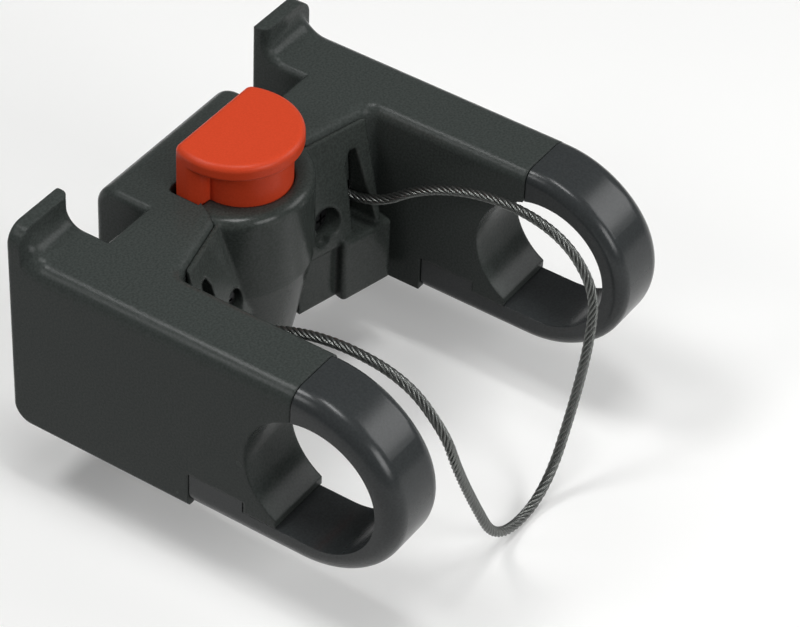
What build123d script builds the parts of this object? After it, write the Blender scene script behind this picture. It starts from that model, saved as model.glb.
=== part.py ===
"""Quick-release bag mount for a 31.8 mm bicycle handlebar.

The origin is on the handlebar's axis, midway between the two clamps.
+X runs along the bar, +Y forward to the bag, +Z up. All sizes are in mm.
"""
import os
from math import cos, hypot, pi, radians, sin, sqrt, tan

from build123d import *

# Overall size
BAR_D = 31.8
BAR_R = BAR_D / 2
HALF_W = 51.0
ARM_W = 16.5
ARM_IN = HALF_W - ARM_W
TOP = 23.0
BOTTOM = -22.0
FRONT = 76.0
SEAM_Y = 5.0
WALL = 3.0

# Hooks
LIP_TOP = 30.2
LIP_T = 3.8
LIP_OUT_R = 4.5
VALLEY_IN_R = 3.8
VALLEY_OUT_R = 6.5
VALLEY_TURN_X = ARM_IN + 4.0

# Web and central block
WEB_FRONT = 62.5
BLOCK_FRONT = 76.0
BLOCK_HALF = 22.0
BLOCK_TOP_R = 5.5
TOP_EDGE_R = 2.0
TOE_R = 4.5
HOOK_EDGE_R = 1.0
SADDLE_END_Z = -5.0
CORE_IN = 15.0
CORE_H = 15.0
ARM_OUT_R = 4.2
ARM_IN_R = 3.0
WEB_CORNER_R = 3.0

# Line between the bracket and the latch cover
WING_ANGLE = 14.0
WING_SIN = sin(radians(WING_ANGLE))
WING_COS = cos(radians(WING_ANGLE))
PART_V = 51.2
PART_GAP = 0.1
SPLIT_Y = PART_V / WING_COS + 1.23
RING_HALF = 16.8
RING_TIP_HALF = 14.0
LOW_SPLIT_HALF = 12.5
LOW_SPLIT_TOP = 12.0

# Release button
CAP_R = 14.5
CAP_Y = SPLIT_Y + 1.1
CAP_FLAT_Y = CAP_Y + 6.5
CAP_TOP = 34.3
CAP_T = 3.7
CAP_CORNER_R = 2.0
CAP_EDGE_R = 1.5
CAP_LOW_R = 0.6
POST_R = 10.6
POST_Y = CAP_Y - 2.0
POST_BOTTOM = -4.0
PLATE_T = 7.5
PLATE_BACK_R = 3.2
PLATE_BOTTOM = 17.0
SLIDE_GAP = 0.3
STOP_GAP = 0.05
TRAVEL = 6.0
WELL_FRONT = CAP_FLAT_Y + 0.7
WELL_LOW_HALF = 11.0
WELL_CORNER_R = 1.5
NOSE_HALF = 9.0
NOSE_STEM = (-4.0, 0.0)
NOSE_L = 10.5
NOSE_TIP_Y = CAP_FLAT_Y + NOSE_L
NOSE_TIP_H = 3.0
NOSE_TOOTH_L = 3.5
NOSE_TOOTH_Y = NOSE_TIP_Y - NOSE_TOOTH_L
NOSE_TOOTH_TOP = 4.0

# Recess for the bag's catch in the front of the block
CATCH_HALF = 12.0
CATCH_BACK = WELL_FRONT + 2.0
CATCH_TOP = 10.0

# Latch cover
COVER_BOTTOM = -19.0
COVER_TOP = 21.2
COVER_END = ARM_IN - 4.1
COLUMN_R = 18.5
COLUMN_Y = SPLIT_Y + 3.0
COLUMN_TOP = TOP - 1.0
COLUMN_RIM_R = 2.4
COLUMN_TAPER_TOP = 1.0
COLUMN_FOOT_R = 14.5
BORE_FLOOR = -10.3
MATE_V = PART_V - PART_GAP
WING_TOP_V = MATE_V - 0.8
WING_FOOT_V = MATE_V - 6.9
WING_STEP_V = MATE_V - 5.9
WING_STEP_Z = -4.5
LEDGE_X = 18.5
LEDGE_END = ARM_IN - 2.5
LEDGE_V = MATE_V - 8.5
LEDGE_BACK_V = MATE_V - 4.0
LEDGE_TOP = -3.0
LEDGE_EDGE_R = 1.0
SLOT = (
    (ARM_IN - 11.9, LEDGE_TOP),
    (ARM_IN - 5.2, LEDGE_TOP),
    (ARM_IN - 6.5, 16.0),
    (ARM_IN - 8.5, 16.0),
    (ARM_IN - 10.1, 13.0),
)
SLOT_CORNER_R = 0.8
COVER_EDGE_R = 0.8
COVER_END_R = 1.2
COLUMN_HOLLOW_X = 14.0
HOLLOW_V = MATE_V - 3.4
HOLLOW_TOP = -5.5
LOBE_X = 14.6
LOBE_Z = -0.6
LOBE_R = 2.0
LOBE_DEPTH_V = MATE_V - 4.9

# Cover screws
COVER_SCREW_X = 16.9
COVER_SCREW_Z = 2.5
COVER_BORE_R = 3.5
COVER_HEAD_R = 2.8
COVER_HEAD_H = 2.2
COVER_SEAT_Y = (PART_V - COVER_SCREW_X * WING_SIN) / WING_COS - 1.6
COVER_SHANK_R = 1.5
COVER_SHANK_L = 12.0
COVER_SHANK_END = COVER_SEAT_Y + COVER_SHANK_L
CROSS_L = 3.0
CROSS_W = 0.6
CROSS_DEPTH = 1.2

# Return spring
SPRING_Y = POST_Y - 4.2
SPRING_R = 3.4
SPRING_WIRE = 0.8
SPRING_WIRE_SIDES = 6
SPRING_TURNS = 6
SPRING_SEAT = COVER_BOTTOM + 3.0
SPRING_CEILING = 8.0
SPRING_BORE_R = SPRING_R + 0.8
SPRING_PEG_R = SPRING_R - 0.7

# Clamps
CLAMP_IN = ARM_IN + 0.4
CLAMP_SEAM = SEAM_Y - 0.2
CLAMP_TOP = TOP - 0.1
CLAMP_WALL = 5.25
CLAMP_TOP_FLAT = 3.7
CLAMP_FOOT_FLAT = 2.0
FOOT_END = 29.7
FOOT_STEP_Y = 16.3
FOOT_STEP_Z = -13.0
HOOK_TONGUE = (17.9, 20.3)
HOOK_TONGUE_L = 4.2
HOOK_TONGUE_HALF = 5.0
ARM_LOW_Y = 8.0
FOOT_GAP = 0.15

# Clamp screws
SCREW_X = ARM_IN + ARM_W / 2
SCREW_Y = 22.5
SCREW_R = 2.5
SCREW_HOLE_R = 2.8
HEAD_R = 4.25
HEAD_H = 5.0
SCREW_L = 16.0
SOCKET_FLATS = 4.0
COUNTERBORE_R = 5.4
WASHER_R = 5.0
WASHER_T = 1.0
SEAT_Z = -15.8
NUT_FLATS = 8.0
NUT_H = 4.0
NUT_Z = -7.0
NUT_GAP = 0.1

# Safety cable
CABLE_D = 2.3
BEND_SHARE = 0.45
CABLE_X = ARM_IN - 7.2
CABLE_Z = 2.8
FERRULE_R = 2.9
FERRULE_L = 9.0
FERRULE_FACE_Y = (PART_V - CABLE_X * WING_SIN) / WING_COS + 0.6
RIGHT_CABLE_POINTS = (
    (CABLE_X, FERRULE_FACE_Y, CABLE_Z),
    (CABLE_X, 38.2, CABLE_Z),
    (28.2, 26.0, 13.2),
    (29.0, 9.5, 18.6),
    (29.0, -7.8, 16.8),
    (28.8, -17.3, 6.5),
    (26.8, -18.6, -4.0),
    (21.5, -19.3, -17.5),
    (10.5, -19.7, -38.5),
)
LEFT_CABLE_POINTS = (
    (-8.8, -19.7, -37.6),
    (-19.6, -19.3, -16.6),
    (-25.4, -18.6, -3.2),
    (-28.2, -17.3, 7.2),
    (-28.8, -7.8, 17.4),
    (-29.0, 9.5, 19.0),
    (-28.2, 26.0, 13.2),
    (-CABLE_X, 38.2, CABLE_Z),
    (-CABLE_X, FERRULE_FACE_Y, CABLE_Z),
)


WING_LINE = Plane(
    origin=(0, 0, 0),
    x_dir=(WING_SIN, WING_COS, 0),
    z_dir=(WING_COS, -WING_SIN, 0),
)


def wing_y(x, v):
    """Y of the right wing's vertical plane v at a given X."""
    return (v - x * WING_SIN) / WING_COS


def wing_u(x, v):
    """Distance along the right wing at which its plane v reaches X."""
    return (x - v * WING_SIN) / WING_COS


def wing_v(point):
    """Depth of a point in front of the right wing's zero plane."""
    return point.X * WING_SIN + point.Y * WING_COS


def rect(x0, x1, y0, y1, mode=Mode.ADD):
    """Rectangle between two corners of the current sketch."""
    with Locations(((x0 + x1) / 2, (y0 + y1) / 2)):
        Rectangle(x1 - x0, y1 - y0, mode=mode)


def edges_at(part, tolerance=0.05, **place):
    """Edges whose centre has the given coordinates."""
    return part.edges().filter_by(
        lambda e: all(
            abs(getattr(e.center(), axis) - value) < tolerance
            for axis, value in place.items()))


def save(part, name):
    """Label one piece and write it as STEP."""
    part.label = name
    export_step(part, f"parts/{name}.step")
    print(name, round(part.volume, 1), part.is_valid, len(part.solids()))


os.makedirs("parts", exist_ok=True)

# Hook of the right arm
VALLEY_Y = FRONT - LIP_T
HOOK_ROOT = 8.0

with BuildPart() as hook:
    # Valley of one radius beside the notch
    with BuildSketch(Plane.YZ.offset(ARM_IN)):
        with BuildLine():
            Polyline(
                (VALLEY_Y, TOP + VALLEY_IN_R),
                (VALLEY_Y, TOP - HOOK_ROOT),
                (WEB_FRONT, TOP - HOOK_ROOT),
                (WEB_FRONT, TOP),
                (VALLEY_Y - VALLEY_IN_R, TOP),
            )
            RadiusArc(
                (VALLEY_Y - VALLEY_IN_R, TOP),
                (VALLEY_Y, TOP + VALLEY_IN_R),
                -VALLEY_IN_R,
            )
        make_face()
    extrude(amount=VALLEY_TURN_X - ARM_IN)

    # From there it widens to the arm's rounded outer edge
    for side_x, radius in ((VALLEY_TURN_X, VALLEY_IN_R), (HALF_W, VALLEY_OUT_R)):
        with BuildSketch(Plane.YZ.offset(side_x)):
            with BuildLine():
                Polyline(
                    (VALLEY_Y, TOP + radius),
                    (VALLEY_Y, TOP - HOOK_ROOT),
                    (WEB_FRONT, TOP - HOOK_ROOT),
                    (WEB_FRONT, TOP),
                    (VALLEY_Y - radius, TOP),
                )
                RadiusArc(
                    (VALLEY_Y - radius, TOP),
                    (VALLEY_Y, TOP + radius),
                    -radius,
                )
            make_face()
    loft()
    outer_edge = hook.edges().filter_by(
        lambda e: abs(e.center().X - HALF_W) < 0.02
        and e.center().Z > TOP - 0.1
        and e.center().Y < VALLEY_Y - 0.1)
    fillet(outer_edge, ARM_OUT_R)
    # Lip
    with BuildSketch(Plane.XZ.offset(-FRONT)):
        rect(ARM_IN, HALF_W, TOP - HOOK_ROOT, LIP_TOP)
        fillet(vertices().sort_by(Axis.X)[-2:].sort_by(Axis.Y)[-1], LIP_OUT_R)
    extrude(amount=LIP_T)

# Bracket
CORNER_Y = wing_y(ARM_IN, PART_V)
RING_FOOT_Y = wing_y(RING_HALF, PART_V)
NOTCH_Y = FOOT_STEP_Y - SLIDE_GAP
FOOT_Y = FOOT_END + SLIDE_GAP
ARM_CEILING = TOP - 3.5
ARM_POCKETS = ((34.0, 46.0), (48.0, 59.0), (61.0, FRONT - 4.0))

with BuildPart() as bracket:
    with BuildSketch(Plane.XY.offset(BOTTOM)):
        with BuildLine():
            Polyline(
                (0, BLOCK_FRONT),
                (BLOCK_HALF, BLOCK_FRONT),
                (BLOCK_HALF, WEB_FRONT),
                (ARM_IN, WEB_FRONT),
                (ARM_IN, FRONT),
                (HALF_W, FRONT),
                (HALF_W, SEAM_Y),
                (ARM_IN, SEAM_Y),
                (ARM_IN, CORNER_Y),
                (LOW_SPLIT_HALF, wing_y(LOW_SPLIT_HALF, PART_V)),
                (LOW_SPLIT_HALF, SPLIT_Y),
                (0, SPLIT_Y),
                close=True,
            )
        make_face()
    extrude(amount=TOP - BOTTOM)
    fillet(edges_at(bracket, X=ARM_IN, Y=CORNER_Y), WEB_CORNER_R)

    # Room for the cover's ring beside the button
    with BuildSketch(Plane.XY.offset(LOW_SPLIT_TOP)):
        with BuildLine():
            Polyline(
                (LOW_SPLIT_HALF, SPLIT_Y),
                (RING_TIP_HALF, SPLIT_Y),
                (RING_HALF, RING_FOOT_Y),
                (RING_HALF, RING_FOOT_Y - 1),
                (LOW_SPLIT_HALF, RING_FOOT_Y - 1),
                close=True,
            )
        make_face()
    extrude(amount=TOP - LOW_SPLIT_TOP, mode=Mode.SUBTRACT)

    # Rounded top edges of the arm and the web, and the block's round brow
    top_edges = bracket.edges().group_by(Axis.Z)[-1]
    outer_top = top_edges.filter_by(Axis.Y).filter_by(
        lambda e: abs(e.center().X - HALF_W) < 0.05)
    inner_top = top_edges.filter_by(
        lambda e: RING_HALF + 0.3 < e.center().X < HALF_W - 1
        and SEAM_Y + 0.5 < e.center().Y
        and e.center().Y < wing_y(e.center().X, PART_V) + 1.0)
    fillet(outer_top, ARM_OUT_R)
    fillet(inner_top, ARM_IN_R)
    brow = edges_at(bracket, Y=BLOCK_FRONT, Z=TOP).filter_by(
        lambda e: e.center().X < BLOCK_HALF)
    fillet(brow, BLOCK_TOP_R)

    # Rounded toe, then the upturned hook above it
    toe = edges_at(bracket, Y=FRONT, Z=BOTTOM)
    fillet(toe, TOE_R)
    add(hook.part)
    front_rim = bracket.edges().filter_by(
        lambda e: abs(e.center().Y - FRONT) < 0.02
        and e.center().X > ARM_IN - 0.1)
    fillet(front_rim, HOOK_EDGE_R)

    # Soft edges around the block's side and along the notch beside it
    notch_edges = bracket.edges().filter_by(
        lambda e: BLOCK_HALF - 0.02 < e.center().X < ARM_IN + 0.02
        and WEB_FRONT - 0.02 < e.center().Y < VALLEY_Y + VALLEY_IN_R
        and e.center().Z > TOP - 0.1
        and e.center().Z < LIP_TOP - 3)
    side_rim = bracket.edges().filter_by(
        lambda e: abs(e.center().X - BLOCK_HALF) < 0.02
        and e.center().Y > BLOCK_FRONT - BLOCK_TOP_R + 0.1)
    fillet(notch_edges + side_rim, TOP_EDGE_R)

    # Saddle for the bar, and room below it for the clamp's foot
    with BuildSketch(Plane.YZ.offset(ARM_IN - 1)):
        Circle(BAR_R)
    extrude(amount=ARM_W + 2, mode=Mode.SUBTRACT)
    with BuildSketch(Plane.YZ.offset(ARM_IN - 1)):
        with BuildLine():
            Polyline(
                (SEAM_Y - 1, SADDLE_END_Z),
                (ARM_LOW_Y, SADDLE_END_Z),
                (ARM_LOW_Y, FOOT_GAP - BAR_R),
                (NOTCH_Y, FOOT_GAP - BAR_R),
                (NOTCH_Y, FOOT_STEP_Z),
                (FOOT_Y, FOOT_STEP_Z),
                (FOOT_Y, BOTTOM - 1),
                (SEAM_Y - 1, BOTTOM - 1),
                close=True,
            )
        make_face()
    extrude(amount=ARM_W + 2, mode=Mode.SUBTRACT)

    # Pocket for the clamp's tongue
    with BuildSketch(Plane.XZ.offset(-SEAM_Y)):
        rect(SCREW_X - HOOK_TONGUE_HALF - SLIDE_GAP,
             SCREW_X + HOOK_TONGUE_HALF + SLIDE_GAP,
             HOOK_TONGUE[0] - 0.2, HOOK_TONGUE[1] + 0.2)
    extrude(amount=-HOOK_TONGUE_L - SLIDE_GAP, mode=Mode.SUBTRACT)

    # Hollow arm, open below, with two ribs
    with BuildSketch(Plane.XY.offset(BOTTOM)):
        for y0, y1 in ARM_POCKETS:
            with Locations((SCREW_X, (y0 + y1) / 2)):
                RectangleRounded(ARM_W - 2 * WALL, y1 - y0, 1.5)
    extrude(amount=ARM_CEILING - BOTTOM, mode=Mode.SUBTRACT)

    # Clamp screw hole, and the nut trap open to the first pocket
    with BuildSketch(Plane.XY.offset(FOOT_STEP_Z)):
        with Locations((SCREW_X, SCREW_Y)):
            Circle(SCREW_HOLE_R)
    extrude(amount=SCREW_L - 1, mode=Mode.SUBTRACT)
    with BuildSketch(Plane.XY.offset(NUT_Z)):
        with Locations((SCREW_X, SCREW_Y)):
            RegularPolygon(NUT_FLATS / 2 + NUT_GAP, 6, major_radius=False,
                           rotation=30)
        rect(SCREW_X - NUT_FLATS / 2 - NUT_GAP,
             SCREW_X + NUT_FLATS / 2 + NUT_GAP,
             SCREW_Y, ARM_POCKETS[0][0] + 0.5)
    extrude(amount=NUT_H + 2 * NUT_GAP, mode=Mode.SUBTRACT)

    # Well for the button and its latch nose
    with BuildSketch(Plane.XY.offset(PLATE_BOTTOM - TRAVEL - 0.5)):
        rect(-CAP_R - SLIDE_GAP, CAP_R + SLIDE_GAP, SPLIT_Y, WELL_FRONT)
        fillet(vertices().group_by(Axis.Y)[-1], WELL_CORNER_R)
    extrude(amount=TOP - BOTTOM, mode=Mode.SUBTRACT)
    with BuildSketch(Plane.XY.offset(COVER_BOTTOM)):
        rect(-WELL_LOW_HALF, WELL_LOW_HALF, SPLIT_Y, WELL_FRONT)
    extrude(amount=TOP - COVER_BOTTOM, mode=Mode.SUBTRACT)

    # Recess for the bag's catch, and the window for the nose
    with BuildSketch(Plane.XZ.offset(-CATCH_BACK)):
        rect(-CATCH_HALF, CATCH_HALF, BOTTOM - 1, CATCH_TOP)
    extrude(amount=-(BLOCK_FRONT - CATCH_BACK), mode=Mode.SUBTRACT)
    with BuildSketch(Plane.XZ.offset(-WELL_FRONT + 1)):
        rect(-NOSE_HALF - SLIDE_GAP, NOSE_HALF + SLIDE_GAP,
             NOSE_STEM[0] - TRAVEL - SLIDE_GAP, NOSE_STEM[1] + STOP_GAP)
    extrude(amount=-(CATCH_BACK - WELL_FRONT + 2), mode=Mode.SUBTRACT)

    # Cored underside of the web
    with BuildSketch(Plane.XY.offset(BOTTOM)):
        with BuildLine():
            Polyline(
                (CORE_IN, SPLIT_Y - 0.5),
                (CORE_IN, WEB_FRONT - WALL),
                (ARM_IN - WALL, WEB_FRONT - WALL),
                (ARM_IN - WALL, CORNER_Y + 2 * WALL),
                close=True,
            )
        make_face()
    extrude(amount=CORE_H, mode=Mode.SUBTRACT)

    # Cable ferrule pocket and cover screw pilot
    with BuildSketch(Plane.XZ.offset(-CORNER_Y)):
        with Locations((CABLE_X, CABLE_Z)):
            Circle(FERRULE_R + 0.1)
    extrude(amount=-(FERRULE_FACE_Y + FERRULE_L + SLIDE_GAP - CORNER_Y),
            mode=Mode.SUBTRACT)
    with BuildSketch(Plane.XZ.offset(-CORNER_Y)):
        with Locations((COVER_SCREW_X, COVER_SCREW_Z)):
            Circle(COVER_SHANK_R + 0.05)
    extrude(amount=-(COVER_SHANK_END + 0.5 - CORNER_Y), mode=Mode.SUBTRACT)

    # Left half
    with Locations((-HALF_W, WEB_FRONT, 0)):
        Box(2 * HALF_W, 4 * HALF_W, 2 * HALF_W, mode=Mode.SUBTRACT)
    mirror(about=Plane.YZ)

save(bracket.part, "bracket")

# Latch cover
WING_U = wing_u(COVER_END, WING_FOOT_V)
LEDGE_U = wing_u(LEDGE_X, LEDGE_V)
LEDGE_END_U = wing_u(LEDGE_END, LEDGE_V)
COLUMN_STEPS = (
    (COVER_BOTTOM, LOW_SPLIT_HALF - PART_GAP, LOW_SPLIT_HALF - PART_GAP),
    (LOW_SPLIT_TOP + PART_GAP, RING_HALF - PART_GAP, RING_TIP_HALF - PART_GAP),
)

with BuildPart() as column:
    # Plan cut where it meets the bracket, wider at the top
    for base_z, half, tip_half in COLUMN_STEPS:
        with BuildSketch(Plane.XY.offset(base_z)):
            with Locations((0, COLUMN_Y)):
                Circle(COLUMN_R)
            with BuildLine():
                Polyline(
                    (0, 0),
                    (2 * half, 0),
                    (2 * half, wing_y(2 * half, MATE_V)),
                    (half, wing_y(half, MATE_V)),
                    (tip_half, SPLIT_Y - PART_GAP),
                    (0, SPLIT_Y - PART_GAP),
                    close=True,
                )
            make_face(mode=Mode.INTERSECT)
        extrude(amount=COLUMN_TOP - base_z)
    rim = column.edges().filter_by(GeomType.CIRCLE).filter_by(
        lambda e: abs(e.radius - COLUMN_R) < 0.01
        and abs(e.center().Z - COLUMN_TOP) < 0.01)
    fillet(rim, COLUMN_RIM_R)

    # Taper towards the foot
    with BuildSketch(Plane.XZ.offset(-COLUMN_Y)):
        with BuildLine():
            Polyline(
                (COLUMN_R, COLUMN_TAPER_TOP),
                (COLUMN_FOOT_R, COVER_BOTTOM),
                (COLUMN_R + 1, COVER_BOTTOM),
                (COLUMN_R + 1, COLUMN_TAPER_TOP),
                close=True,
            )
        make_face()
    revolve(axis=Axis((0, COLUMN_Y, 0), (0, 0, 1)), mode=Mode.SUBTRACT)

with BuildPart() as ledge:
    with BuildSketch(WING_LINE.offset(LEDGE_U)):
        rect(LEDGE_V, LEDGE_BACK_V, COVER_BOTTOM, LEDGE_TOP)
    extrude(amount=LEDGE_END_U - LEDGE_U)
    soft_edges = ledge.edges().filter_by(
        lambda e: e.center().Z > COVER_BOTTOM + 0.1
        and wing_v(e.center()) < LEDGE_BACK_V - 0.1)
    fillet(soft_edges, LEDGE_EDGE_R)

with BuildPart() as latch_cover:
    # Wing, from its sloped back to the face on the bracket
    with BuildSketch(WING_LINE.offset(-2)):
        with BuildLine():
            Polyline(
                (MATE_V, COVER_TOP),
                (MATE_V, COVER_BOTTOM),
                (WING_FOOT_V, COVER_BOTTOM),
                (WING_FOOT_V, LEDGE_TOP),
                (WING_TOP_V, COVER_TOP),
                close=True,
            )
        make_face()
    extrude(amount=WING_U + 2)
    mate_corner = (WING_LINE * Pos(MATE_V, 0, WING_U)).position
    fillet(edges_at(latch_cover, X=mate_corner.X, Y=mate_corner.Y), COVER_END_R)
    foot_corner = (WING_LINE * Pos(WING_FOOT_V, 0, WING_U)).position
    fillet(edges_at(latch_cover, X=foot_corner.X, Y=foot_corner.Y), COVER_EDGE_R)

    # Step between the column and the foot
    with BuildSketch(WING_LINE.offset(-3)):
        rect(WING_FOOT_V - 1, WING_STEP_V, COVER_BOTTOM - 1, WING_STEP_Z)
    extrude(amount=LEDGE_U + 3, mode=Mode.SUBTRACT)

    # Thick foot with a soft upper edge
    add(ledge.part)

    # Column with the bore for the button's post and the spring's seat
    add(column.part)
    with BuildSketch(Plane.XY.offset(BORE_FLOOR)):
        with Locations((0, POST_Y)):
            Circle(POST_R + SLIDE_GAP)
    extrude(amount=TOP - BORE_FLOOR, mode=Mode.SUBTRACT)
    with BuildSketch(Plane.XY.offset(SPRING_SEAT)):
        with Locations((0, SPRING_Y)):
            Circle(SPRING_BORE_R)
    extrude(amount=BORE_FLOOR - SPRING_SEAT, mode=Mode.SUBTRACT)

    # Slot for the cable
    with BuildSketch(Plane.XZ):
        with BuildLine():
            Polyline(*SLOT, close=True)
        make_face()
        fillet(vertices(), SLOT_CORNER_R)
    extrude(amount=-SPLIT_Y, mode=Mode.SUBTRACT)

    # Screw counterbore with its hole
    with BuildSketch(Plane.XZ.offset(-COVER_SEAT_Y)):
        with Locations((COVER_SCREW_X, COVER_SCREW_Z)):
            Circle(COVER_BORE_R)
    extrude(amount=COVER_SEAT_Y, mode=Mode.SUBTRACT)
    with BuildSketch(Plane.XZ):
        with Locations((COVER_SCREW_X, COVER_SCREW_Z)):
            Circle(COVER_SHANK_R + 0.1)
    extrude(amount=-SPLIT_Y, mode=Mode.SUBTRACT)

    # Hollow in the face on the bracket, behind the foot
    with BuildSketch(WING_LINE.offset(wing_u(COLUMN_HOLLOW_X, MATE_V))):
        rect(HOLLOW_V, MATE_V + 1, COVER_BOTTOM + WALL, HOLLOW_TOP)
    extrude(amount=WING_U - 2 * WALL, mode=Mode.SUBTRACT)

    # Left half, then the peg that keeps the spring in place
    with Locations((-HALF_W, WEB_FRONT, 0)):
        Box(2 * HALF_W, 4 * HALF_W, 2 * HALF_W, mode=Mode.SUBTRACT)
    mirror(about=Plane.YZ)
    with BuildSketch(Plane.XY.offset(SPRING_SEAT)):
        with Locations((0, SPRING_Y)):
            Circle(SPRING_PEG_R)
    extrude(amount=WALL)

    # Blind dimple beside the right screw
    lobe_y = wing_y(LOBE_X, LOBE_DEPTH_V)
    with BuildSketch(Plane.XZ.offset(-lobe_y)):
        with Locations((LOBE_X, LOBE_Z)):
            Circle(LOBE_R)
    extrude(amount=lobe_y, mode=Mode.SUBTRACT)

save(latch_cover.part, "latch_cover")

# Release button
CAP_BOTTOM = CAP_TOP - CAP_T

with BuildPart() as release_button:
    # Cap
    with BuildSketch(Plane.XY.offset(CAP_BOTTOM)):
        with Locations((0, CAP_Y)):
            Circle(CAP_R)
        rect(-CAP_R, CAP_R, CAP_FLAT_Y, CAP_FLAT_Y + CAP_R, mode=Mode.SUBTRACT)
        fillet(vertices(), CAP_CORNER_R)
    extrude(amount=CAP_T)
    fillet(release_button.edges().group_by(Axis.Z)[-1], CAP_EDGE_R)
    fillet(release_button.edges().group_by(Axis.Z)[0], CAP_LOW_R)

    # Plate flush with the cap's side, and the post behind it
    with BuildSketch(Plane.XY.offset(PLATE_BOTTOM)):
        with Locations((0, CAP_Y)):
            Circle(CAP_R)
        rect(-CAP_R, CAP_R, CAP_FLAT_Y, CAP_FLAT_Y + CAP_R, mode=Mode.SUBTRACT)
        fillet(vertices(), CAP_CORNER_R)
        rect(-CAP_R, CAP_R, CAP_Y - CAP_R, CAP_FLAT_Y - PLATE_T, mode=Mode.SUBTRACT)
        fillet(vertices().group_by(Axis.Y)[0], PLATE_BACK_R)
    extrude(amount=CAP_BOTTOM + CAP_T / 2 - PLATE_BOTTOM)
    with BuildSketch(Plane.XY.offset(POST_BOTTOM)):
        with Locations((0, POST_Y)):
            Circle(POST_R)
        rect(-CAP_R, CAP_R, CAP_FLAT_Y, CAP_FLAT_Y + CAP_R, mode=Mode.SUBTRACT)
    extrude(amount=CAP_BOTTOM + 1 - POST_BOTTOM)

    # Latch nose
    with BuildSketch(Plane.YZ.offset(-NOSE_HALF)):
        with BuildLine():
            Polyline(
                (CAP_FLAT_Y - 1, NOSE_STEM[0]),
                (NOSE_TIP_Y - 1, NOSE_STEM[0]),
                (NOSE_TIP_Y, NOSE_STEM[0] + NOSE_TIP_H),
                (NOSE_TIP_Y, NOSE_STEM[1]),
                (NOSE_TOOTH_Y + 1, NOSE_TOOTH_TOP),
                (NOSE_TOOTH_Y, NOSE_TOOTH_TOP),
                (NOSE_TOOTH_Y, NOSE_STEM[1]),
                (CAP_FLAT_Y - 1, NOSE_STEM[1]),
                close=True,
            )
        make_face()
    extrude(amount=2 * NOSE_HALF)

    # Bore for the spring
    with BuildSketch(Plane.XY.offset(POST_BOTTOM)):
        with Locations((0, SPRING_Y)):
            Circle(SPRING_BORE_R)
    extrude(amount=SPRING_CEILING - POST_BOTTOM, mode=Mode.SUBTRACT)

save(release_button.part, "release_button")

# Return spring
spring_rise = SPRING_CEILING - SPRING_SEAT - SPRING_WIRE

with BuildPart() as button_spring:
    with BuildLine():
        coil = Helix(
            pitch=spring_rise / SPRING_TURNS,
            height=spring_rise,
            radius=SPRING_R,
            center=(0, SPRING_Y, SPRING_SEAT + SPRING_WIRE / 2),
        )
    with BuildSketch(Plane(origin=coil @ 0, z_dir=coil % 0)):
        RegularPolygon(SPRING_WIRE / 2, SPRING_WIRE_SIDES)
    sweep()

save(button_spring.part, "button_spring")

# Cover screw
with BuildPart() as right_cover_screw:
    with BuildSketch(Plane.XZ.offset(-COVER_SEAT_Y)):
        with Locations((COVER_SCREW_X, COVER_SCREW_Z)):
            Circle(COVER_HEAD_R)
    extrude(amount=COVER_HEAD_H)
    fillet(right_cover_screw.edges().sort_by(Axis.Y)[0], COVER_HEAD_H / 3)
    with BuildSketch(Plane.XZ.offset(-COVER_SEAT_Y)):
        with Locations((COVER_SCREW_X, COVER_SCREW_Z)):
            Circle(COVER_SHANK_R)
    extrude(amount=COVER_SEAT_Y - COVER_SHANK_END)
    with BuildSketch(Plane.XZ.offset(-COVER_SEAT_Y + COVER_HEAD_H)):
        with Locations((COVER_SCREW_X, COVER_SCREW_Z)):
            Rectangle(CROSS_L, CROSS_W)
            Rectangle(CROSS_W, CROSS_L)
    extrude(amount=-CROSS_DEPTH, mode=Mode.SUBTRACT)

save(right_cover_screw.part, "right_cover_screw")
save(mirror(right_cover_screw.part, about=Plane.YZ), "left_cover_screw")

# Clamp
CLAMP_R = BAR_R + CLAMP_WALL


def blend_radius(flat_z, flat_y):
    """Radius of the arc from the clamp's round back to the end of a flat."""
    return (flat_y ** 2 + flat_z ** 2 - CLAMP_R ** 2) / (2 * (abs(flat_z) - CLAMP_R))


def on_back(centre):
    """Point where an arc with this centre meets the round back."""
    reach = hypot(*centre)
    return -centre[0] / reach * CLAMP_R, -centre[1] / reach * CLAMP_R


top_r = blend_radius(CLAMP_TOP, CLAMP_TOP_FLAT)
foot_r = blend_radius(BOTTOM, CLAMP_FOOT_FLAT)
top_centre = (CLAMP_TOP_FLAT, CLAMP_TOP - top_r)
foot_centre = (CLAMP_FOOT_FLAT, BOTTOM + foot_r)
seat_z = sqrt(BAR_R ** 2 - CLAMP_SEAM ** 2)

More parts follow.
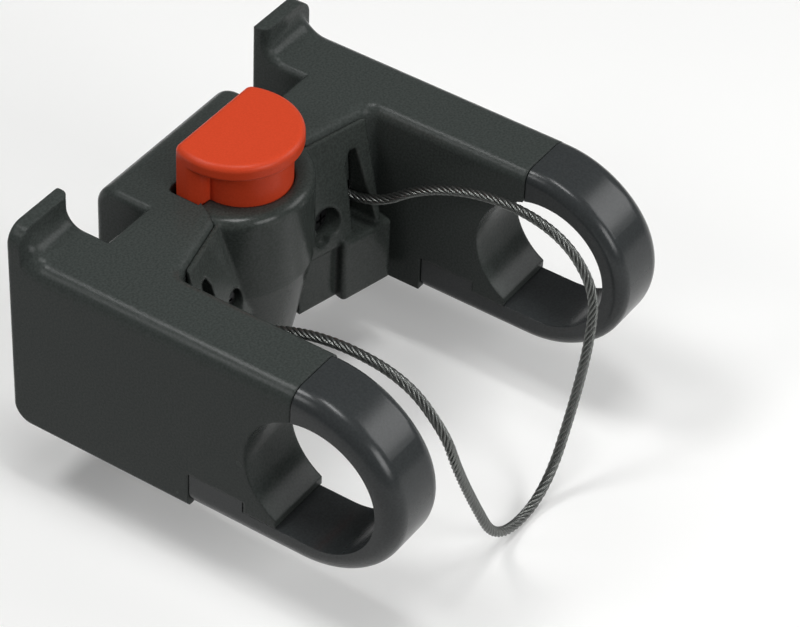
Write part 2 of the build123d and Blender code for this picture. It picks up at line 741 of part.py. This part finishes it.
with BuildPart() as right_clamp:
    with BuildSketch(Plane.YZ.offset(CLAMP_IN)):
        with BuildLine():
            Line((CLAMP_SEAM, CLAMP_TOP), (top_centre[0], CLAMP_TOP))
            RadiusArc((top_centre[0], CLAMP_TOP), on_back(top_centre), -top_r)
            ThreePointArc(on_back(top_centre), (-CLAMP_R, 0),
                          on_back(foot_centre))
            RadiusArc(on_back(foot_centre), (foot_centre[0], BOTTOM), -foot_r)
            Polyline(
                (foot_centre[0], BOTTOM),
                (FOOT_END, BOTTOM),
                (FOOT_END, FOOT_STEP_Z),
                (FOOT_STEP_Y, FOOT_STEP_Z),
                (FOOT_STEP_Y, -BAR_R),
                (0, -BAR_R),
            )
            ThreePointArc((0, -BAR_R), (-BAR_R, 0), (CLAMP_SEAM, seat_z))
            Line((CLAMP_SEAM, seat_z), (CLAMP_SEAM, CLAMP_TOP))
        make_face()
    extrude(amount=HALF_W - CLAMP_IN)
    outer_rim = right_clamp.edges().filter_by(
        lambda e: abs(e.center().X - HALF_W) < 0.01
        and hypot(e.center().Y, e.center().Z) > BAR_R + 1
        and (e.center().Y < CLAMP_SEAM - 0.01 or e.center().Z < BOTTOM + 0.1))
    inner_rim = right_clamp.edges().filter_by(
        lambda e: abs(e.center().X - CLAMP_IN) < 0.01
        and hypot(e.center().Y, e.center().Z) > BAR_R + 1
        and (e.center().Y < CLAMP_SEAM - 0.01 or e.center().Z < BOTTOM + 0.1))
    fillet(outer_rim, ARM_OUT_R)
    fillet(inner_rim, ARM_IN_R)

    # Tongue that hooks into the bracket
    with BuildSketch(Plane.XZ.offset(-CLAMP_SEAM + 1)):
        rect(SCREW_X - HOOK_TONGUE_HALF, SCREW_X + HOOK_TONGUE_HALF, *HOOK_TONGUE)
    extrude(amount=-HOOK_TONGUE_L - 1)

    # Counterbore and hole for the screw
    with BuildSketch(Plane.XY.offset(BOTTOM)):
        with Locations((SCREW_X, SCREW_Y)):
            Circle(COUNTERBORE_R)
    extrude(amount=SEAT_Z - BOTTOM, mode=Mode.SUBTRACT)
    with BuildSketch(Plane.XY.offset(BOTTOM)):
        with Locations((SCREW_X, SCREW_Y)):
            Circle(SCREW_HOLE_R)
    extrude(amount=-BOTTOM, mode=Mode.SUBTRACT)

save(right_clamp.part, "right_clamp")
save(mirror(right_clamp.part, about=Plane.YZ), "left_clamp")

# Clamp screw, washer and nut
HEAD_SEAT = SEAT_Z - WASHER_T

with BuildPart() as right_clamp_screw:
    with BuildSketch(Plane.XY.offset(HEAD_SEAT)):
        with Locations((SCREW_X, SCREW_Y)):
            Circle(HEAD_R)
    extrude(amount=-HEAD_H)
    chamfer(right_clamp_screw.edges().sort_by(Axis.Z)[0], 0.5)
    with BuildSketch(Plane.XY.offset(HEAD_SEAT)):
        with Locations((SCREW_X, SCREW_Y)):
            Circle(SCREW_R)
    extrude(amount=SCREW_L)
    chamfer(right_clamp_screw.edges().sort_by(Axis.Z)[-1], 0.5)
    with BuildSketch(Plane.XY.offset(HEAD_SEAT - HEAD_H)):
        with Locations((SCREW_X, SCREW_Y)):
            RegularPolygon(SOCKET_FLATS / 2, 6, major_radius=False)
    extrude(amount=HEAD_H / 2, mode=Mode.SUBTRACT)

save(right_clamp_screw.part, "right_clamp_screw")
save(mirror(right_clamp_screw.part, about=Plane.YZ), "left_clamp_screw")

with BuildPart() as right_clamp_washer:
    with BuildSketch(Plane.XY.offset(HEAD_SEAT)):
        with Locations((SCREW_X, SCREW_Y)):
            Circle(WASHER_R)
            Circle(SCREW_HOLE_R, mode=Mode.SUBTRACT)
    extrude(amount=WASHER_T)

save(right_clamp_washer.part, "right_clamp_washer")
save(mirror(right_clamp_washer.part, about=Plane.YZ), "left_clamp_washer")

with BuildPart() as right_clamp_nut:
    with BuildSketch(Plane.XY.offset(NUT_Z)):
        with Locations((SCREW_X, SCREW_Y)):
            RegularPolygon(NUT_FLATS / 2, 6, major_radius=False, rotation=30)
            Circle(SCREW_R + 0.05, mode=Mode.SUBTRACT)
    extrude(amount=NUT_H)

save(right_clamp_nut.part, "right_clamp_nut")
save(mirror(right_clamp_nut.part, about=Plane.YZ), "left_clamp_nut")

# Ferrule at the cable's end
with BuildPart() as right_cable_ferrule:
    with BuildSketch(Plane.XZ.offset(-FERRULE_FACE_Y)):
        with Locations((CABLE_X, CABLE_Z)):
            Circle(FERRULE_R)
    extrude(amount=-FERRULE_L)
    chamfer(right_cable_ferrule.edges().filter_by(GeomType.CIRCLE), 0.4)

save(right_cable_ferrule.part, "right_cable_ferrule")
save(mirror(right_cable_ferrule.part, about=Plane.YZ), "left_cable_ferrule")

# Safety cable
cable_points = [Vector(*p) for p in RIGHT_CABLE_POINTS + LEFT_CABLE_POINTS]
cable_radii = []
for before, here, after in zip(cable_points, cable_points[1:], cable_points[2:]):
    run_in = here - before
    run_out = after - here
    half_turn = radians(run_in.get_angle(run_out)) / 2
    shorter = min(run_in.length, run_out.length)
    cable_radii.append(BEND_SHARE * shorter / tan(half_turn))

with BuildPart() as safety_cable:
    with BuildLine():
        route = FilletPolyline(*cable_points, radius=cable_radii)
    with BuildSketch(Plane(origin=route @ 0, z_dir=route % 0)):
        Circle(CABLE_D / 2)
    sweep()

save(safety_cable.part, "safety_cable")
print("cable bends", [round(r, 1) for r in cable_radii])
print("cable length", round(route.length, 1),
      "volume over section", round(safety_cable.part.volume / (pi * CABLE_D ** 2 / 4), 1))
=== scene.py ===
"""Studio scene of a quick-release handlebar bag mount, in metres."""
import math

import bpy
from mathutils import Matrix, Vector


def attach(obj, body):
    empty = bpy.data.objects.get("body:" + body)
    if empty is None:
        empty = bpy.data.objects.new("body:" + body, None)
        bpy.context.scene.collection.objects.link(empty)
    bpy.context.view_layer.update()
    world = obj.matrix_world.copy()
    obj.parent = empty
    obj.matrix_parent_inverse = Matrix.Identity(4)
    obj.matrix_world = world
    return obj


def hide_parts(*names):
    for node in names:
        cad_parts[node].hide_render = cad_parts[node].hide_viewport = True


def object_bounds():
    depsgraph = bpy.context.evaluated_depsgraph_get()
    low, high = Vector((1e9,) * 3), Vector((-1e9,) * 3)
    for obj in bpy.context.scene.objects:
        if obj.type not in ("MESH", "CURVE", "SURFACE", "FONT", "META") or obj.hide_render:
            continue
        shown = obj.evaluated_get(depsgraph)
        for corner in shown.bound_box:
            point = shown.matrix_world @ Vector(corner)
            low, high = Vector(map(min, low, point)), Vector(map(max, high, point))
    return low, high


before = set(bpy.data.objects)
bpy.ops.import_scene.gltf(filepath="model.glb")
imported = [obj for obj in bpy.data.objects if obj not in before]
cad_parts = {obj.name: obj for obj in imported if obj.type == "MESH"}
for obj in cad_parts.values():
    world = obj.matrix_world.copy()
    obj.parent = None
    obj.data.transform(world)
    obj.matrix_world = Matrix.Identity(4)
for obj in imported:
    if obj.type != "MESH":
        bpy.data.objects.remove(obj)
cad_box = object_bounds()
MM = 0.001

# Camera, as the photograph was taken
CAMERA_AZIMUTH = 57.74
CAMERA_ELEVATION = 41.12
CAMERA_ROLL = 2.69
CAMERA_DISTANCE = 0.7393
CAMERA_FOCAL_PX = 3544.0
CAMERA_NEAR = 0.01
PHOTO_SIZE_PX = (800.0, 627.0)
ORIGIN_PX = (449.5, 351.8)
SENSOR_MM = 36.0

# Cable route, with the same points as the CAD tube
CABLE_D = 2.3 * MM
ROUTE_ORDER = 3
ROUTE_STEPS = 24
ROUTE_MM = (
    (27.3, 46.56, 2.8),
    (27.3, 38.2, 2.8),
    (28.2, 26.0, 13.2),
    (29.0, 9.5, 18.6),
    (29.0, -7.8, 16.8),
    (28.8, -17.3, 6.5),
    (26.8, -18.6, -4.0),
    (21.5, -19.3, -17.5),
    (10.5, -19.7, -38.5),
    (-8.8, -19.7, -37.6),
    (-19.6, -19.3, -16.6),
    (-25.4, -18.6, -3.2),
    (-28.2, -17.3, 7.2),
    (-28.8, -7.8, 17.4),
    (-29.0, 9.5, 19.0),
    (-28.2, 26.0, 13.2),
    (-27.3, 38.2, 2.8),
    (-27.3, 46.56, 2.8),
)

# Rope: six strands around a core, pressed together, each with a ripple of wires
STRANDS = 6
STRAND_LAY = 9.5 * MM
STRAND_OVERLAP = 1.08
STRAND_R = CABLE_D / 6.0 * STRAND_OVERLAP
STRAND_SIDES = 10
STEPS_PER_LAY = 20
WIRES_AROUND = 6
WIRE_PITCH = 0.35 * STRAND_LAY / WIRES_AROUND
# Ripple colours: painted shade in the grooves between wires, painted highlight on the wire
# crowns
ROPE_GROOVE_SHADE = (0.03, 0.032, 0.03)
ROPE_CROWN_HIGHLIGHT = (0.24, 0.25, 0.24)
ROPE_BUMP = 0.8
ROPE_BUMP_DEPTH = 0.015 * MM
ROPE_METALLIC = 0.9
ROPE_ROUGHNESS = 0.32

# Plastics: two grain colours, roughness, grain size and depth, gloss, edge radius
PLASTICS = {
    "bracket_black": dict(
        low=(0.034, 0.040, 0.037), high=(0.049, 0.056, 0.053), roughness=0.25,
        grain=0.5 * MM, depth=0.014 * MM, specular=0.12, edge=0.8 * MM),
    "cover_black": dict(
        low=(0.029, 0.034, 0.031), high=(0.044, 0.051, 0.047), roughness=0.2,
        grain=0.5 * MM, depth=0.008 * MM, specular=0.22, edge=1.0 * MM),
    "clamp_black": dict(
        low=(0.028, 0.031, 0.032), high=(0.035, 0.039, 0.040), roughness=0.23,
        grain=0.5 * MM, depth=0.004 * MM, specular=0.27, edge=0.25 * MM),
    "button_red": dict(
        low=(0.56, 0.052, 0.016), high=(0.60, 0.058, 0.019), roughness=0.36,
        grain=0.4 * MM, depth=0.01 * MM, specular=0.18, edge=0.5 * MM),
}
PLASTIC_CLOUD = 90.0
PLASTIC_GLOSS_SWING = 0.06

# Metals: colour and roughness, then what all of them share
METALS = {
    "screw_black": dict(colour=(0.05, 0.05, 0.052), roughness=0.4),
    "bolt_zinc": dict(colour=(0.35, 0.35, 0.36), roughness=0.35),
    "washer_zinc": dict(colour=(0.5, 0.5, 0.51), roughness=0.35),
    "spring_wire": dict(colour=(0.45, 0.45, 0.46), roughness=0.3),
}
METAL_CLOUD = 400.0
METAL_GRAIN = 2500.0
METAL_SHADE = 0.7
METAL_SMOOTHER = 0.08
METAL_ROUGHER = 0.1
METAL_BUMP = 0.4
METAL_BUMP_DEPTH = 0.01 * MM

# Nodes that each material dresses
DRESSED = {
    "bracket_black": ("bracket",),
    "cover_black": ("latch_cover",),
    "clamp_black": ("left_clamp", "right_clamp"),
    "button_red": ("release_button",),
    "screw_black": ("left_cover_screw", "right_cover_screw"),
    "bolt_zinc": ("left_clamp_screw", "right_clamp_screw"),
    "washer_zinc": ("left_clamp_washer", "right_clamp_washer", "left_clamp_nut",
                    "right_clamp_nut", "left_cable_ferrule", "right_cable_ferrule"),
    "spring_wire": ("button_spring",),
}

# Where a colour ramp starts and ends
RAMP_START = 0.35
RAMP_END = 0.65

# Studio: lamp name, place in metres, size in metres, power in watts
LAMPS = (
    ("rider side", (-0.1, -0.76, 0.4), (0.35, 0.35), 2.8),
    ("right", (0.58, -0.5, 0.48), (0.42, 0.42), 2.4),
    ("overhead", (-0.04, -0.06, 0.87), (0.14, 0.3), 2.4),
    ("front", (-0.2, 0.36, 0.77), (0.2, 0.2), 2.0),
    ("left", (-0.58, 0.36, 0.55), (0.25, 0.25), 1.1),
)
LAMP_TARGET = (0, 0.04, 0)
WORLD_STRENGTH = 0.16
FLOOR_HALF = 6.0
FLOOR_GAP = 0.5 * MM
FLOOR_SEEN = (0.88, 0.88, 0.87)
FLOOR_BOUNCE = (0.2, 0.2, 0.2)
FLOOR_GLOW = 0.09
FLOOR_ROUGHNESS = 0.9
FLOOR_SPECULAR = 0.2


def add_camera():
    """Camera at the photograph's viewpoint."""
    azimuth = math.radians(CAMERA_AZIMUTH)
    elevation = math.radians(CAMERA_ELEVATION)
    roll = math.radians(CAMERA_ROLL)
    forward = Vector((
        math.sin(azimuth) * math.cos(elevation),
        math.cos(azimuth) * math.cos(elevation),
        -math.sin(elevation)))
    level = Vector((math.cos(azimuth), -math.sin(azimuth), 0.0))
    upright = level.cross(forward)
    right = math.cos(roll) * level + math.sin(roll) * upright
    up = -math.sin(roll) * level + math.cos(roll) * upright
    across = (ORIGIN_PX[0] - PHOTO_SIZE_PX[0] / 2) / CAMERA_FOCAL_PX
    down = (ORIGIN_PX[1] - PHOTO_SIZE_PX[1] / 2) / CAMERA_FOCAL_PX
    place = CAMERA_DISTANCE * (-forward - across * right + down * up)
    turn = Matrix((right, up, -forward)).transposed().to_4x4()
    data = bpy.data.cameras.new("camera")
    data.sensor_width = SENSOR_MM
    data.lens = SENSOR_MM * CAMERA_FOCAL_PX / PHOTO_SIZE_PX[0]
    data.clip_start = CAMERA_NEAR
    camera = bpy.data.objects.new("camera", data)
    camera.matrix_world = Matrix.Translation(place) @ turn
    bpy.context.scene.collection.objects.link(camera)
    bpy.context.scene.camera = camera


def new_material(name):
    """Empty node material with its tree and its shader."""
    material = bpy.data.materials.new(name)
    material.use_nodes = True
    tree = material.node_tree
    shader = next(n for n in tree.nodes if n.type == "BSDF_PRINCIPLED")
    return material, tree, shader


def add_node(tree, kind, inputs=None, **settings):
    """Node with settings and socket values."""
    node = tree.nodes.new(kind)
    for key, value in settings.items():
        setattr(node, key, value)
    for key, value in (inputs or {}).items():
        node.inputs[key].default_value = value
    return node


def mix_colours(tree, factor, low, high):
    """Colour ramp between two linear colours."""
    ramp = tree.nodes.new("ShaderNodeValToRGB")
    ramp.color_ramp.elements[0].position = RAMP_START
    ramp.color_ramp.elements[0].color = (*low, 1.0)
    ramp.color_ramp.elements[1].position = RAMP_END
    ramp.color_ramp.elements[1].color = (*high, 1.0)
    tree.links.new(factor, ramp.inputs["Fac"])
    return ramp.outputs["Color"]


def moulded_plastic(name, low, high, roughness, grain, depth, specular, edge):
    """Moulded plastic with spark-eroded grain and softened edges."""
    material, tree, shader = new_material(name)
    links = tree.links
    place = add_node(tree, "ShaderNodeTexCoord").outputs["Object"]
    cloud = add_node(tree, "ShaderNodeTexNoise",
                     {"Scale": PLASTIC_CLOUD, "Detail": 3.0, "Roughness": 0.6})
    bumps = add_node(tree, "ShaderNodeTexNoise",
                     {"Scale": 1.0 / grain, "Detail": 2.0, "Roughness": 0.55})
    for texture in (cloud, bumps):
        links.new(place, texture.inputs["Vector"])
    links.new(mix_colours(tree, bumps.outputs["Fac"], low, high),
              shader.inputs["Base Color"])
    gloss = add_node(tree, "ShaderNodeMapRange",
                     {"To Min": roughness - PLASTIC_GLOSS_SWING,
                      "To Max": roughness + PLASTIC_GLOSS_SWING})
    links.new(cloud.outputs["Fac"], gloss.inputs["Value"])
    links.new(gloss.outputs["Result"], shader.inputs["Roughness"])
    bevel = add_node(tree, "ShaderNodeBevel", {"Radius": edge}, samples=4)
    bump = add_node(tree, "ShaderNodeBump", {"Strength": 1.0, "Distance": depth})
    links.new(bumps.outputs["Fac"], bump.inputs["Height"])
    links.new(bevel.outputs["Normal"], bump.inputs["Normal"])
    links.new(bump.outputs["Normal"], shader.inputs["Normal"])
    shader.inputs["Specular IOR Level"].default_value = specular
    return material


def plated_steel(name, colour, roughness):
    """Plated steel with a fine grain and uneven gloss."""
    material, tree, shader = new_material(name)
    links = tree.links
    place = add_node(tree, "ShaderNodeTexCoord").outputs["Object"]
    grain = add_node(tree, "ShaderNodeTexNoise", {"Scale": METAL_GRAIN, "Detail": 2.0})
    cloud = add_node(tree, "ShaderNodeTexNoise", {"Scale": METAL_CLOUD, "Detail": 3.0})
    for texture in (cloud, grain):
        links.new(place, texture.inputs["Vector"])
    darker = tuple(METAL_SHADE * c for c in colour)
    links.new(mix_colours(tree, cloud.outputs["Fac"], darker, colour),
              shader.inputs["Base Color"])
    gloss = add_node(tree, "ShaderNodeMapRange",
                     {"To Min": roughness - METAL_SMOOTHER,
                      "To Max": roughness + METAL_ROUGHER})
    links.new(cloud.outputs["Fac"], gloss.inputs["Value"])
    links.new(gloss.outputs["Result"], shader.inputs["Roughness"])
    bump = add_node(tree, "ShaderNodeBump",
                    {"Strength": METAL_BUMP, "Distance": METAL_BUMP_DEPTH})
    links.new(grain.outputs["Fac"], bump.inputs["Height"])
    links.new(bump.outputs["Normal"], shader.inputs["Normal"])
    shader.inputs["Metallic"].default_value = 1.0
    return material


def rope_steel():
    """Dark drawn wire; its wires a slanted ripple of painted shade and painted highlight."""
    material, tree, shader = new_material("rope_steel")
    links = tree.links
    unwrap = add_node(tree, "ShaderNodeTexCoord").outputs["UV"]
    wires = add_node(tree, "ShaderNodeTexWave",
                     {"Scale": 1.0, "Distortion": 0.0},
                     wave_type="BANDS", bands_direction="DIAGONAL")
    links.new(unwrap, wires.inputs["Vector"])
    # The ripple paints shade into the grooves and a highlight onto the wire crowns
    links.new(mix_colours(tree, wires.outputs["Fac"], ROPE_GROOVE_SHADE, ROPE_CROWN_HIGHLIGHT),
              shader.inputs["Base Color"])
    bump = add_node(tree, "ShaderNodeBump",
                    {"Strength": ROPE_BUMP, "Distance": ROPE_BUMP_DEPTH})
    links.new(wires.outputs["Fac"], bump.inputs["Height"])
    links.new(bump.outputs["Normal"], shader.inputs["Normal"])
    shader.inputs["Metallic"].default_value = ROPE_METALLIC
    shader.inputs["Roughness"].default_value = ROPE_ROUGHNESS
    return material


def route_points():
    """Points along the cable's smooth line, read from its NURBS spline."""
    knots = [Vector(p) * MM for p in ROUTE_MM]
    data = bpy.data.curves.new("cable_route", "CURVE")
    data.dimensions = "3D"
    data.resolution_u = ROUTE_STEPS
    spline = data.splines.new("NURBS")
    spline.points.add(len(knots) - 1)
    for point, knot in zip(spline.points, knots):
        point.co = (*knot, 1.0)
    spline.order_u = ROUTE_ORDER
    spline.use_endpoint_u = True
    holder = bpy.data.objects.new("cable_route", data)
    mesh = bpy.data.meshes.new_from_object(holder)
    points = [v.co.copy() for v in mesh.vertices]
    bpy.data.objects.remove(holder)
    bpy.data.meshes.remove(mesh)
    return points


def even_points(points, step):
    """The same line with points a fixed step apart."""
    spans = [(b - a).length for a, b in zip(points, points[1:])]
    total = sum(spans)
    count = max(2, round(total / step))
    result = []
    index, passed = 0, 0.0
    for k in range(count + 1):
        target = total * k / count
        while index < len(spans) - 1 and passed + spans[index] < target:
            passed += spans[index]
            index += 1
        share = min(1.0, max(0.0, (target - passed) / spans[index]))
        result.append(points[index].lerp(points[index + 1], share))
    return result, total


def carried_frames(points):
    """Tangent, side and normal at each point, without twist."""
    tangents = []
    for k in range(len(points)):
        ahead = points[min(k + 1, len(points) - 1)]
        behind = points[max(k - 1, 0)]
        tangents.append((ahead - behind).normalized())
    side = tangents[0].orthogonal().normalized()
    frames = []
    for tangent in tangents:
        side = (side - side.dot(tangent) * tangent).normalized()
        frames.append((tangent, side, tangent.cross(side)))
    return frames


def build_rope(material):
    """Stranded steel cable along the route."""
    points, total = even_points(route_points(), STRAND_LAY / STEPS_PER_LAY)
    frames = carried_frames(points)
    centre_r = CABLE_D / 2.0 - STRAND_R
    slope = math.atan2(2 * math.pi * centre_r, STRAND_LAY)
    verts, faces, unwraps = [], [], []
    step = total / (len(points) - 1)
    strands = [(2 * math.pi * n / STRANDS, centre_r, slope) for n in range(STRANDS)]
    core = (0.0, 0.0, 0.0)
    for phase, radius, lean in strands + [core]:
        start = len(verts)
        for k, (point, (tangent, side, normal)) in enumerate(zip(points, frames)):
            angle = phase + 2 * math.pi * k * step / STRAND_LAY
            outward = math.cos(angle) * side + math.sin(angle) * normal
            around = tangent.cross(outward)
            along = math.cos(lean) * tangent + math.sin(lean) * around
            across = along.cross(outward)
            centre = point + radius * outward
            for s in range(STRAND_SIDES):
                turn = 2 * math.pi * s / STRAND_SIDES
                verts.append(centre + STRAND_R * (
                    math.cos(turn) * outward + math.sin(turn) * across))
        for k in range(len(points) - 1):
            for s in range(STRAND_SIDES):
                t = (s + 1) % STRAND_SIDES
                row, after = start + k * STRAND_SIDES, start + (k + 1) * STRAND_SIDES
                faces.append((row + s, row + t, after + t, after + s))
                here, ahead = k * step / WIRE_PITCH, (k + 1) * step / WIRE_PITCH
                near = s / STRAND_SIDES * WIRES_AROUND
                far = (s + 1) / STRAND_SIDES * WIRES_AROUND
                unwraps.append(((here, near), (here, far), (ahead, far), (ahead, near)))
        for row, step_sign in ((0, -1), (len(points) - 1, 1)):
            ring = [start + row * STRAND_SIDES + s for s in range(STRAND_SIDES)]
            faces.append(tuple(ring[::step_sign]))
            unwraps.append(((0.0, 0.0),) * STRAND_SIDES)
    mesh = bpy.data.meshes.new("safety_cable_rope")
    mesh.from_pydata([tuple(v) for v in verts], [], faces)
    layer = mesh.uv_layers.new(name="unwrap")
    for polygon, corners in zip(mesh.polygons, unwraps):
        for loop, place in zip(polygon.loop_indices, corners):
            layer.data[loop].uv = place
        polygon.use_smooth = len(corners) == 4
    mesh.materials.append(material)
    rope = bpy.data.objects.new("safety_cable_rope", mesh)
    bpy.context.scene.collection.objects.link(rope)
    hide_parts("safety_cable")
    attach(rope, "bracket")


def dress(names, material):
    """Give CAD nodes a material."""
    for name in names:
        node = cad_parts[name]
        if not node.material_slots:
            node.data.materials.append(material)
        for slot in node.material_slots:
            slot.material = material


def dress_nodes():
    """Materials of all CAD nodes but the cable."""
    for maker, looks in ((moulded_plastic, PLASTICS), (plated_steel, METALS)):
        for name, look in looks.items():
            dress(DRESSED[name], maker(name, **look))


def area_light(name, place, size, power):
    """Soft rectangular lamp aimed at the mount."""
    data = bpy.data.lights.new(name, "AREA")
    data.shape = "RECTANGLE"
    data.size, data.size_y = size
    data.energy = power
    lamp = bpy.data.objects.new(name, data)
    aim = (Vector(LAMP_TARGET) - Vector(place)).to_track_quat("-Z", "Y")
    lamp.matrix_world = Matrix.Translation(place) @ aim.to_matrix().to_4x4()
    bpy.context.scene.collection.objects.link(lamp)


def add_studio():
    """Pale floor, pale surroundings and soft lamps."""
    low = cad_box[0][2] - FLOOR_GAP
    corners = [(-FLOOR_HALF, -FLOOR_HALF, low), (FLOOR_HALF, -FLOOR_HALF, low),
               (FLOOR_HALF, FLOOR_HALF, low), (-FLOOR_HALF, FLOOR_HALF, low)]
    mesh = bpy.data.meshes.new("floor")
    mesh.from_pydata(corners, [], [(0, 1, 2, 3)])
    floor = bpy.data.objects.new("floor", mesh)
    bpy.context.scene.collection.objects.link(floor)
    material, tree, shader = new_material("floor_white")
    light_path = add_node(tree, "ShaderNodeLightPath")
    paper = mix_colours(tree, light_path.outputs["Is Diffuse Ray"], FLOOR_SEEN, FLOOR_BOUNCE)
    tree.links.new(paper, shader.inputs["Base Color"])
    glow = add_node(tree, "ShaderNodeMapRange", {"To Min": FLOOR_GLOW, "To Max": 0.0})
    tree.links.new(light_path.outputs["Is Diffuse Ray"], glow.inputs["Value"])
    tree.links.new(glow.outputs["Result"], shader.inputs["Emission Strength"])
    shader.inputs["Emission Color"].default_value = (1, 1, 1, 1)
    shader.inputs["Roughness"].default_value = FLOOR_ROUGHNESS
    shader.inputs["Specular IOR Level"].default_value = FLOOR_SPECULAR
    mesh.materials.append(material)
    world = bpy.data.worlds.new("studio")
    world.use_nodes = True
    world.node_tree.nodes["Background"].inputs["Color"].default_value = (1, 1, 1, 1)
    world.node_tree.nodes["Background"].inputs["Strength"].default_value = WORLD_STRENGTH
    bpy.context.scene.world = world
    for name, place, size, power in LAMPS:
        area_light(name, place, size, power)


add_camera()
build_rope(rope_steel())
dress_nodes()
add_studio()
bpy.context.scene.view_settings.view_transform = "Standard"
